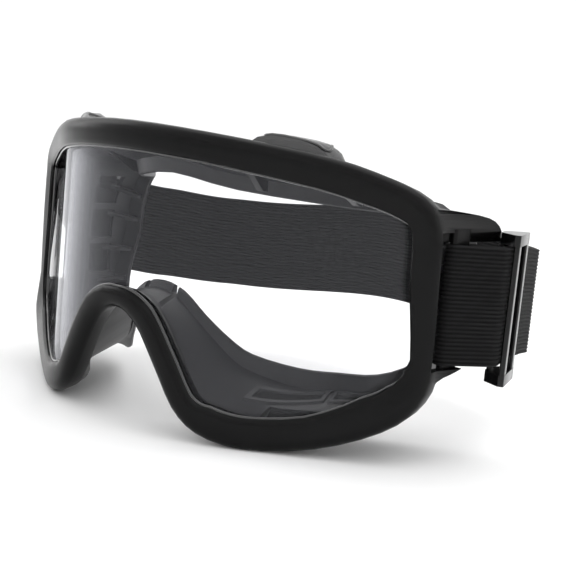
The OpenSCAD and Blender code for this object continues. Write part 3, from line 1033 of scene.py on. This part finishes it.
@dataclass(frozen=True)
class MouldedForm:
    """The curves that the rim and the skirt are moulded to, in millimetres.

    A station is a place round the outline, from 0 at the middle of the brow to 16 at the
    middle of the nose arch, on the right. Y is the depth behind the rim's front. Every
    outline and list of shares below goes station by station.
    """

    half_width: float = 90.0
    height: float = 96.0
    wide_z: float = 33.0
    lobe_x: float = 45.0
    nose_z: float = 37.4
    front_r: float = 78.0
    sweep: float = 36.0
    face_turn: float = 0.4
    groove_depth: float = 2.0
    groove_lead: float = 2.8
    groove_seat: float = 0.3
    skirt_wall: float = 2.0
    skirt_u: float = 2.35
    skirt_v: float = 6.65
    skirt_limit: float = 83.2
    eye_x: float = 70.0
    eye_top: float = 80.0
    eye_low: float = 22.0
    bridge_z: float = 45.0
    bridge_y: float = 24.0
    temple_y: float = 80.0
    lip_t: float = 1.8
    lip_in: float = 5.0
    lip_seat: float = 1.0
    eye_shift: float = 3.0
    wall_bend: Point = (0.6, 0.35, 0.6)
    wall_turn: float = 0.5

    BROW = (
        (0, 1), (0.3, 0.983), (0.6, 0.936), (0.783, 0.873),
        (0.923, 0.779), (0.98, 0.635), (0.991, 0.365), (1, 0),
    )
    LOBE = ((0.95, 0.591), (0.755, 0.308), (0.39, 0.077), (0, 0))
    NOSE = ((0.7, 0.07), (0.52, 0.25), (0.35, 0.6), (0.18, 0.9), (0, 1))
    EYE_UPPER = (
        (0, 1), (0.314, 0.93), (0.629, 0.864), (0.857, 0.836),
        (0.933, 0.75), (0.98, 0.568), (1, 0.318), (1, 0),
    )
    EYE_LOWER = ((0.911, 0.321), (0.643, -0.02), (0.321, -0.04), (0, 0))
    EYE_NOSE = ((0.729, 0.139), (0.571, 0.335), (0.405, 0.622), (0.214, 0.913), (0, 1))
    BAND = (
        9, 9, 9.7, 9.7, 8.9, 7.55, 7.55, 6.2, 10.25, 11.6, 10.2, 10.2, 10.2, 8.2, 8.2,
        8.2, 6.6,
    )
    DEPTH = (
        0, 0.125, 0.61, 0.91, 0.97, 0.99, 1, 0.93, 0.875, 0.72, 0.55, 0.39, 0.21, 0.125,
        0.045, 0.005, 0,
    )
    ROOT = (1, 1, 1, 1, 1.1, 1.2, 1.3, 1.3, 1.2, 1.2, 1.2, 1.2, 1, 0.7, 0.5, 0.5, 0.5)
    LAST = 16

    def rim_stations(self) -> list[Pair]:
        """The rim's outline.

        Returns:
            Its stations on the right side.
        """
        low, high = self.half_width - self.lobe_x, self.height - self.wide_z
        brow = [(x * self.half_width, self.wide_z + z * high) for x, z in self.BROW]
        lobe = [(self.lobe_x + x * low, z * self.wide_z) for x, z in self.LOBE]
        nose = [(x * self.lobe_x, z * self.nose_z) for x, z in self.NOSE]
        return brow + lobe + nose

    def eye_stations(self) -> list[Pair]:
        """The face opening's outline.

        Returns:
            Its stations on the right side.
        """
        inner, wide = self.lobe_x - self.eye_shift, self.wide_z + self.eye_shift
        low, span = self.eye_low, self.eye_x - inner
        upper = [(x * self.eye_x, wide + z * (self.eye_top - wide)) for x, z in self.EYE_UPPER]
        lower = [(inner + x * span, low + z * (wide - low)) for x, z in self.EYE_LOWER]
        nose = [(x * inner, low + z * (self.bridge_z - low)) for x, z in self.EYE_NOSE]
        return upper + lower + nose

    def held(self, i: int) -> int:
        """A station's number, turned back past either end."""
        return self.LAST - abs(self.LAST - abs(i))

    @staticmethod
    def blend4(a: float, b: float, c: float, d: float, t: float) -> Pair:
        """A smooth curve through four values.

        Args:
            a: The value before the stretch.
            b: The value at its start.
            c: The value at its end.
            d: The value after it.
            t: The share of the stretch, from 0 to 1.

        Returns:
            The curve's value and its slope.
        """
        p, q, r = c - a, 2 * a - 5 * b + 4 * c - d, 3 * b - a - 3 * c + d
        value = (2 * b + p * t + q * t * t + r * t * t * t) / 2
        return value, (p + 2 * q * t + 3 * r * t * t) / 2

    def follow(self, line: Sequence[Pair], s: float, inside: float) -> Pair:
        """A point a distance inside a smooth outline.

        Args:
            line: The outline's stations, which mirror at both ends.
            s: The station.
            inside: The distance.

        Returns:
            The point's X and Z.
        """
        i = min(int(s), self.LAST - 1)
        around = [(k, self.held(k)) for k in range(i - 1, i + 3)]
        x, dx = self.blend4(*(line[j][0] * (1 if j == k else -1) for k, j in around), s - i)
        z, dz = self.blend4(*(line[j][1] for _k, j in around), s - i)
        size = math.hypot(dx, dz)
        return x + inside * dz / size, z - inside * dx / size

    def share(self, values: Sequence[float], s: float) -> float:
        """A straight mix of two stations' values."""
        i = min(int(s), self.LAST - 1)
        return values[i] + (values[i + 1] - values[i]) * (s - i)

    def plan_y(self, x: float) -> float:
        """The depth of the front's plan: an arc that runs on straight.

        Args:
            x: The distance from the middle.

        Returns:
            The depth.
        """
        turn = math.radians(self.sweep)
        bend = self.front_r * math.sin(turn)
        if abs(x) < bend:
            return self.front_r - math.sqrt(self.front_r**2 - x * x)
        return self.front_r * (1 - math.cos(turn)) + (abs(x) - bend) * math.tan(turn)

    def rim_point(self, s: float, u: float, v: float) -> Point:
        """A point of the rim.

        Args:
            s: The station.
            u: The distance inside the outline.
            v: The distance behind the rim's front.

        Returns:
            The point on the right side.
        """
        line = self.rim_stations()
        x, z = self.follow(line, s, u)
        seat = self.share(self.BAND, s) - self.groove_depth - self.groove_seat
        r = self.plan_y(self.follow(line, s, max(u, seat))[0])
        return x, r + (self.plan_y(x) - r) * self.face_turn + v, z

    def lip_point(self, s: float, out: float, back: float) -> Point:
        """A point of the face lip.

        Args:
            s: The station.
            out: The distance outside the face opening's edge.
            back: The distance behind the lip's face.

        Returns:
            The point on the right side.
        """
        x, z = self.follow(self.eye_stations(), s, -out)
        i = min(int(s), self.LAST - 1)
        ends = [self.DEPTH[self.held(k)] for k in range(i - 1, i + 3)]
        depth = self.blend4(*ends, s - i)[0]
        return x, self.bridge_y + (self.temple_y - self.bridge_y) * depth + back, z

    def wall_point(self, s: float, t: float, inside: float) -> Point:
        """A point of the skirt's wall, which bends once between the rim and the lip.

        Args:
            s: The station.
            t: 0 at the rim, 1 at the face lip.
            inside: The depth inside the wall's outer face.

        Returns:
            The point on the right side.
        """
        x, y, z = self.rim_point(s, self.skirt_u + inside, self.skirt_v)
        a = (min(x, self.skirt_limit - inside), y, z)
        root = self.lip_in * self.share(self.ROOT, s) + self.skirt_wall - inside
        c = self.lip_point(s, root, -self.lip_t - self.lip_seat)
        b = tuple(p + (q - p) * part for p, q, part in zip(a, c, self.wall_bend))
        way = t / self.wall_turn
        first, last, part = (a, b, way) if t < self.wall_turn else (b, c, way - 1.0)
        return tuple(p + (q - p) * part for p, q in zip(first, last))


@dataclass(frozen=True)
class NoseSlits:
    """The two slits that let the skirt's nose bridge flex, in millimetres and degrees."""

    plan: PlanFrame
    place: Pair = (5.7, 25.0)
    lean: float = 16.0
    width: float = 1.5
    start: float = 12.5
    reach_x: float = 16.0
    top: float = 60.0

    SNAP = 1e-7

    def cut(self, form: Form) -> None:
        """Cuts both slits through the skirt from its face lip.

        Args:
            form: The skirt's copy.
        """
        for side in Side:
            self.cut_one(form, side)

    def near(self, form: Form) -> list[bmesh.types.BMFace]:
        """The faces round the nose bridge."""
        middles = [(face, face.calc_center_median() / MM) for face in form.faces]
        return [face for face, m in middles if abs(m.x) < self.reach_x and m.z < self.top]

    def cut_one(self, form: Form, side: Side) -> None:
        """Cuts one slit and closes its walls.

        Args:
            form: The skirt's copy.
            side: The side of the nose.
        """
        turn = math.radians(self.lean)
        normal = Vector((side.value * math.cos(turn), math.sin(turn), 0.0))
        rearward = Vector((0.0, 1.0, 0.0))
        place = Vector((self.place[0] * side.value, self.place[1]))
        middle = self.plan.point(place, 0.0)
        front = self.plan.point(Vector((0.0, self.start)), 0.0)
        half = self.width / 2.0 * MM
        low, high = middle - half * normal, middle + half * normal
        for through, way in ((low, normal), (high, normal), (front, rearward)):
            faces = self.near(form)
            edges = dict.fromkeys(edge for face in faces for edge in face.edges)
            verts = dict.fromkeys(vert for face in faces for vert in face.verts)
            bmesh.ops.bisect_plane(
                form,
                geom=[*verts, *edges, *faces],
                dist=self.SNAP,
                plane_co=through,
                plane_no=way,
            )
        gone = []
        for face in self.near(form):
            centre = face.calc_center_median()
            if abs((centre - middle).dot(normal)) < half and centre.y > front.y:
                gone.append(face)
        bmesh.ops.delete(form, geom=gone, context="FACES")
        self.close(form, low, normal)
        self.close(form, high, -normal)
        self.cap(form, self.open_edges(form, front, rearward), rearward)

    @staticmethod
    def open_edges(form: Form, through: Vector, normal: Vector) -> list[bmesh.types.BMEdge]:
        """The open edges that lie in a plane.

        Args:
            form: The skirt's copy.
            through: A point of the plane.
            normal: The plane's normal.

        Returns:
            The edges.
        """

        def flush(vert: bmesh.types.BMVert) -> bool:
            """Whether a corner lies in the plane."""
            return abs((vert.co - through).dot(normal)) < SAME

        return [e for e in form.edges if e.is_boundary and all(flush(vert) for vert in e.verts)]

    @staticmethod
    def cap(form: Form, ring: list[bmesh.types.BMEdge], normal: Vector) -> None:
        """Closes a flat ring of edges.

        Args:
            form: The skirt's copy.
            ring: The edges.
            normal: The way that the new faces look.
        """
        made = bmesh.ops.contextual_create(form, geom=ring)
        for face in made["faces"]:
            face.normal_update()
            if face.normal.dot(normal) < 0.0:
                face.normal_flip()
        bmesh.ops.triangulate(form, faces=made["faces"])

    def close(self, form: Form, through: Vector, normal: Vector) -> None:
        """Closes one long wall of a slit.

        Args:
            form: The skirt's copy.
            through: A point of the wall.
            normal: The wall's outward normal.
        """
        chain = self.open_edges(form, through, normal)
        met = [vert for edge in chain for vert in edge.verts]
        tips = [vert for vert in met if met.count(vert) == 1]
        chain.append(form.edges.new(tips))
        self.cap(form, chain, normal)


@dataclass
class SkirtDetails:
    """What is moulded inside the skirt: vent recesses, gussets and gauze.

    A place on the wall is a station along the outline and a share of the way from the
    rim to the lip. Thicknesses and rises are in millimetres.
    """

    form: MouldedForm
    plan: PlanFrame
    skirt_finish: Material
    gauze_finish: Material
    recess_rise: float = 0.7
    floor_rise: float = 0.12
    gauze_depth: float = 1.0
    gauze_t: float = 0.3
    gusset_t: float = 1.5
    gusset_round: float = 0.2
    gusset_back: float = 2.6
    gusset_lip: Pair = (1.2, 1.4)
    sunk: float = 0.2

    # How many edge lines of a recess belong to its frame.
    FRAME = 3

    RECESS_U = (0.0, 0.012, 0.075, 0.09, 0.3, 0.5, 0.7, 0.91, 0.925, 0.988, 1.0)
    RECESS_V = (0.0, 0.04, 0.2, 0.24, 0.5, 0.76, 0.8, 0.96, 1.0)
    # Word, stations of the ends, shares at the first end, shares at the last end.
    RECESSES = (
        ("low", (9.98, 11.5), (0.68, 1.0), (0.5, 0.8)),
        ("side", (8.75, 9.9), (0.62, 0.96), (0.66, 1.0)),
    )
    # Word, station, share where it starts.
    GUSSETS = (
        ("a", 4.72, 0.72), ("b", 5.62, 0.72), ("c", 6.5, 0.72), ("d", 7.35, 0.72),
        ("top_a", 1.28, 0.1), ("top_b", 2.2, 0.1),
    )
    # Word, stations of the ends, shares of the edges.
    WINDOWS = (
        ("top", (1.15, 2.2), (0.2, 0.65)),
        ("side", (4.9, 7.75), (0.49, 0.85)),
        ("low", (8.9, 10.9), (0.2, 0.65)),
    )

    def placed(self, point: Point, side: Side) -> Vector:
        """A point of the form in the frame, on one side."""
        return self.plan.point(Vector((point[0] * side.value, point[1])), point[2])

    def warped(
        self,
        across_u: Sequence[float],
        across_v: Sequence[float],
        place: Callable[[float, float, int, int], Point],
        side: Side,
        floor: tuple[range, range] = (range(0), range(0)),
    ) -> Form:
        """A grid laid over the wall.

        Args:
            across_u: The columns' values.
            across_v: The rows' values.
            place: Gives the point for two values and their places in the lists.
            side: The side of the goggles.
            floor: The columns and rows that get the second finish.

        Returns:
            The laid grid.
        """
        form = bmesh.new()
        columns, rows = len(across_u) - 1, len(across_v) - 1
        bmesh.ops.create_grid(form, x_segments=columns, y_segments=rows, size=1.0)
        for face in form.faces:
            middle = face.calc_center_median()
            i = int((middle.x + 1.0) / 2.0 * columns)
            j = int((middle.y + 1.0) / 2.0 * rows)
            face.material_index = int(i in floor[0] and j in floor[1])
        for vert in form.verts:
            i = round((vert.co.x + 1.0) / 2.0 * columns)
            j = round((vert.co.y + 1.0) / 2.0 * rows)
            vert.co = self.placed(place(across_u[i], across_v[j], i, j), side)
        bmesh.ops.recalc_face_normals(form, faces=form.faces)
        return form

    def recess(self, side: Side, word: str, ends: Pair, first: Pair, last: Pair) -> None:
        """A framed recess on the inner wall, with its floor in the second finish.

        Args:
            side: The side of the goggles.
            word: The recess's word in the piece name.
            ends: The stations where it starts and ends.
            first: The shares of its edges at the first station.
            last: The shares of its edges at the last station.
        """
        columns, rows = len(self.RECESS_U), len(self.RECESS_V)

        def place(u: float, v: float, i: int, j: int) -> Point:
            """A point of the framed panel.

            Args:
                u: The share of the panel's length.
                v: The share of its width.
                i: The place of u in its list.
                j: The place of v in its list.

            Returns:
                The point on the right side.
            """
            edge = min(i, columns - 1 - i, j, rows - 1 - j)
            raised = self.recess_rise if edge else 0.0
            lift = raised if edge < self.FRAME else self.floor_rise
            s = ends[0] + (ends[1] - ends[0]) * u
            low, high = (a + (b - a) * u for a, b in zip(first, last))
            t = low + (high - low) * v
            return self.form.wall_point(s, t, self.form.skirt_wall + lift)

        floor = tuple(range(self.FRAME, size - 1 - self.FRAME) for size in (columns, rows))
        form = self.warped(self.RECESS_U, self.RECESS_V, place, side, floor)
        name = f"vent_recess_{word}_{side.word}"
        piece = as_piece(name, form, Crease.PANEL, self.skirt_finish, self.gauze_finish)
        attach(piece, Body.GOGGLES.value)

    def gusset(self, side: Side, word: str, s: float, low: float) -> None:
        """A web between the wall and the face lip.

        Args:
            side: The side of the goggles.
            word: The gusset's word in the piece name.
            s: Its station.
            low: The share of the wall where it starts.
        """
        form, shape = bmesh.new(), self.form
        eye, pace = shape.eye_stations(), 0.01
        here, there = shape.follow(eye, s, 0.0), shape.follow(eye, s + pace, 0.0)
        station = math.hypot(there[0] - here[0], there[1] - here[1]) / pace
        wall, lip = shape.skirt_wall - self.sunk, self.sunk - shape.lip_t
        for part in (-0.5, 0.5):
            at = s + part * self.gusset_t / station
            corners = [
                shape.wall_point(at, low, wall),
                shape.wall_point(at, (low + 1.0) / 2.0, wall),
                shape.wall_point(at, 1.0, wall),
                shape.lip_point(at, self.gusset_lip[0], lip),
                shape.lip_point(at, self.gusset_lip[1], lip - self.gusset_back),
            ]
            form.faces.new([form.verts.new(self.placed(c, side)) for c in corners])
        bmesh.ops.bridge_loops(form, edges=[e for e in form.edges if e.is_boundary])
        soften(form, self.gusset_round)
        name = f"lip_gusset_{word}_{side.word}"
        piece = as_piece(name, form, Crease.PANEL, self.skirt_finish, self.gauze_finish)
        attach(piece, Body.GOGGLES.value)

    def gauze(self, side: Side, word: str, ends: Pair, reach: Pair) -> None:
        """The gauze that closes a vent window inside the wall.

        Args:
            side: The side of the goggles.
            word: The window's word in the piece name.
            ends: The stations where it starts and ends.
            reach: The shares of the wall where it starts and ends.
        """

        def place(s: float, t: float, _i: int, _j: int) -> Point:
            """The point of the gauze at a place on the wall."""
            return self.form.wall_point(s, t, self.gauze_depth)

        form = self.warped(spread(*ends, 12), spread(*reach, 6), place, side)
        bmesh.ops.solidify(form, geom=form.faces[:], thickness=self.gauze_t * MM)
        name = f"vent_gauze_{word}_{side.word}"
        piece = as_piece(name, form, Crease.SHEET, self.gauze_finish)
        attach(piece, Body.GOGGLES.value)

    def build(self) -> None:
        """Makes every detail of the skirt."""
        for side in Side:
            for row in self.RECESSES:
                self.recess(side, *row)
            for row in self.GUSSETS:
                self.gusset(side, *row)
            for row in self.WINDOWS:
                self.gauze(side, *row)


@dataclass
class LensBead:
    """The glossy bead that holds the lens at its front edge, in millimetres."""

    form: MouldedForm
    plan: PlanFrame
    finish: Material
    radius: float = 0.62
    inset: float = 0.1
    lead: float = 0.15
    steps: int = 12

    def build(self) -> None:
        """Makes the bead all round the lens."""
        right = []
        for k in range(self.form.LAST * self.steps + 1):
            s = k / self.steps
            u = self.form.share(self.form.BAND, s) - self.inset
            right.append(self.form.rim_point(s, u, self.form.groove_lead - self.lead))
        left = [(-x, y, z) for x, y, z in reversed(right[1:-1])]
        points = [self.plan.point(Vector((x, y)), z) for x, y, z in right + left]
        piece = round_bead("lens_bead", points, self.radius, self.finish)
        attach(piece, Body.GOGGLES.value)


@dataclass
class CapFrame:
    """The raised frame moulded on top of each upper vent cap, in millimetres."""

    frame: dict
    plan: PlanFrame
    finish: Material
    first: Pair = (36.9, 23.8)
    last: Pair = (54.1, 34.5)
    half: float = 3.5
    corner: float = 2.4
    corner_parts: int = 6
    pace: float = 1.2
    radius: float = 0.5
    above: float = 200.0

    def outline(self) -> list[Vector]:
        """The frame's line in the plan, on the right side.

        Returns:
            Points round a rectangle with round corners, close enough to follow the cap.
        """
        first, last = Vector(self.first), Vector(self.last)
        way = (last - first).normalized()
        side = Vector((-way.y, way.x))
        inner_l = (last - first).length / 2.0 - self.corner
        inner_w = self.half - self.corner
        points = []
        for k, (u, v) in enumerate(((1, 1), (-1, 1), (-1, -1), (1, -1))):
            for a in spread(90.0 * k, 90.0 * (k + 1), self.corner_parts):
                x = u * inner_l + self.corner * math.cos(math.radians(a))
                y = v * inner_w + self.corner * math.sin(math.radians(a))
                points.append((first + last) / 2.0 + x * way + y * side)
        line = []
        for here, there in zip(points, points[1:] + points[:1]):
            parts = max(1, round((there - here).length / self.pace))
            line += [here.lerp(there, part / parts) for part in range(parts)]
        return line

    def build(self) -> None:
        """Lays the frame on both caps."""
        down = Vector((0.0, 0.0, -1.0))
        for side in Side:
            form = bmesh.new()
            form.from_mesh(self.frame["nodes"][f"top_vent_cap_{side.word}"].data)
            tree = BVHTree.FromBMesh(form)
            form.free()
            points = []
            for spot in self.outline():
                place = Vector((spot.x * side.value, spot.y))
                hit = tree.ray_cast(self.plan.point(place, self.above), down)[0]
                if hit is not None:
                    points.append(hit)
            name = f"cap_frame_{side.word}"
            piece = round_bead(name, points, self.radius, self.finish)
            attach(piece, Body.GOGGLES.value)


@dataclass
class WingWeb:
    """The thin web under each upper arm, behind the strap's upper edge."""

    plan: PlanFrame
    finish: Material
    start: Pair = (85.2, 48.5)
    end: Pair = (88.6, 80.6)
    foot: float = 68.9
    top: float = 72.6
    thickness: float = 1.2
    round: float = 0.3

    def build(self) -> None:
        """Makes the web on both sides."""
        start, end = Vector(self.start), Vector(self.end)
        for side in Side:
            form = bmesh.new()
            bmesh.ops.create_cube(form, size=1.0)
            for vert in form.verts:
                place = start.lerp(end, vert.co.y + 0.5)
                place.x = (place.x + vert.co.x * self.thickness) * side.value
                height = self.foot if vert.co.z < 0.0 else self.top
                vert.co = self.plan.point(place, height)
            soften(form, self.round)
            piece = as_piece(f"arm_web_{side.word}", form, Crease.SHEET, self.finish)
            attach(piece, Body.GOGGLES.value)


@dataclass
class Goggles:
    """All the dressed pieces of the goggles."""

    frame: dict
    front: float
    finishes: Finishes
    webbing: Webbing

    def dress(self) -> None:
        """Makes every piece."""
        made, plan, form = self.finishes, PlanFrame(self.front), MouldedForm()
        solids = [
            ("front_rim", Body.GOGGLES, made.rim),
            ("lens", Body.GOGGLES, made.lens),
            ("face_skirt", Body.GOGGLES, made.skirt),
        ]
        for side in Side:
            solids += [
                (f"top_vent_cap_{side.word}", Body.GOGGLES, made.vent),
                (f"bottom_vent_cap_{side.word}", Body.GOGGLES, made.vent),
                (f"slider_{side.word}", Body.adjuster(side), made.slider),
            ]
        shapes = {"face_skirt": NoseSlits(plan).cut}
        for node, body, finish in solids:
            SolidCopy(self.frame, node, body).make(finish, shapes.get(node))
        HeadStrap(plan, self.webbing, made.elastic, made.thread).build()
        SkirtDetails(form, plan, made.skirt, made.gauze).build()
        LensBead(form, plan, made.bead).build()
        CapFrame(self.frame, plan, made.vent).build()
        WingWeb(plan, made.rim).build()


@dataclass
class Studio:
    """The floor, the soft lights and the camera.

    The camera's place is in millimetres of the goggles' own plan, its turns in degrees.
    The floor's measures are in metres.
    """

    front: float
    floor_finish: Material
    camera_place: Point = (279.2, -262.2, 104.7)
    turn: float = 38.58
    rise: float = 8.38
    roll: float = 5.5
    lens: float = 54.2 * 1.42
    sensor: float = 36.0
    floor_reach: float = 2.6
    floor_curve: float = 1.2
    floor_wall: float = 0.8
    floor_rings: Pair = (0.6, 1.5)
    floor_parts: int = 72
    curve_parts: int = 12
    world_strength: float = 1.15
    aim: Point = (0.0, -0.04, 0.05)

    # Name, place and size in metres, power in watts.
    PANELS = (
        ("key", (0.1, 0.25, 1.2), (1.3, 0.9), 5.0),
        ("left", (-1.3, -0.2, 0.7), (0.7, 1.1), 3.0),
        ("right", (1.3, 0.5, 0.7), (0.7, 1.1), 1.5),
    )

    def build(self) -> None:
        """Makes everything round the goggles."""
        self.make_floor()
        self.make_world()
        self.make_lights()
        self.make_camera()

    def make_floor(self) -> None:
        """A wide pale floor that curves up all round into a low wall."""
        form = bmesh.new()
        reach, curve = self.floor_reach, self.floor_curve
        profile = [(ring, 0.0) for ring in (0.0, *self.floor_rings)]
        for turn in spread(0.0, math.pi / 2.0, self.curve_parts):
            profile.append((reach + curve * math.sin(turn), curve * (1.0 - math.cos(turn))))
        profile.append((reach + curve, curve + self.floor_wall))
        points = [form.verts.new((x, 0.0, z)) for x, z in profile]
        edges = [form.edges.new(pair) for pair in zip(points, points[1:])]
        bmesh.ops.spin(
            form,
            geom=points + edges,
            cent=(0.0, 0.0, 0.0),
            axis=(0.0, 0.0, 1.0),
            angle=math.tau,
            steps=self.floor_parts,
            use_merge=True,
        )
        bmesh.ops.remove_doubles(form, verts=form.verts, dist=1e-5)
        bmesh.ops.recalc_face_normals(form, faces=form.faces)
        if sum(face.normal.z * face.calc_area() for face in form.faces) < 0.0:
            bmesh.ops.reverse_faces(form, faces=form.faces)
        floor = as_piece("floor", form, Crease.ROUND, self.floor_finish)
        floor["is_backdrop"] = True

    def make_world(self) -> None:
        """An even pale surround."""
        world = bpy.data.worlds.new("studio")
        world.use_nodes = True
        back = world.node_tree.nodes["Background"]
        back.inputs["Color"].default_value = (1.0, 1.0, 1.0, 1.0)
        back.inputs["Strength"].default_value = self.world_strength
        bpy.context.scene.world = world
        bpy.context.scene.view_settings.view_transform = "Standard"

    def make_lights(self) -> None:
        """Three soft panels that look at the goggles."""
        for name, place, size, power in self.PANELS:
            data = bpy.data.lights.new(name, "AREA")
            data.shape = "RECTANGLE"
            data.size, data.size_y = size
            data.energy = power
            lamp = bpy.data.objects.new(name, data)
            lamp.location = place
            way = Vector(self.aim) - Vector(place)
            lamp.rotation_euler = way.to_track_quat("-Z", "Y").to_euler()
            bpy.context.scene.collection.objects.link(lamp)

    def make_camera(self) -> None:
        """The camera at the photograph's angle."""
        data = bpy.data.cameras.new("camera")
        data.sensor_width = self.sensor
        data.lens = self.lens
        camera = bpy.data.objects.new("camera", data)
        place = Vector(self.camera_place) * MM
        place.y += self.front
        turn, rise = math.radians(self.turn), math.radians(self.rise)
        flat = math.cos(rise)
        back = Vector((math.sin(turn) * flat, -math.cos(turn) * flat, math.sin(rise)))
        facing = (-back).to_track_quat("-Z", "Y").to_matrix().to_4x4()
        rolled = Matrix.Rotation(math.radians(self.roll), 4, "Z")
        camera.matrix_world = Matrix.Translation(place) @ facing @ rolled
        bpy.context.scene.collection.objects.link(camera)
        bpy.context.scene.camera = camera


def main() -> None:
    """Loads the frame, dresses the goggles and builds the studio."""
    logging.basicConfig(level=logging.INFO, format="%(name)s: %(message)s")
    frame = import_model()
    low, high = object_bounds()
    webbing = Webbing()
    finishes = Finishes.make(webbing)
    Goggles(frame, low.y, finishes, webbing).dress()
    Studio(low.y, finishes.floor).build()


if __name__ == "__main__":
    main()
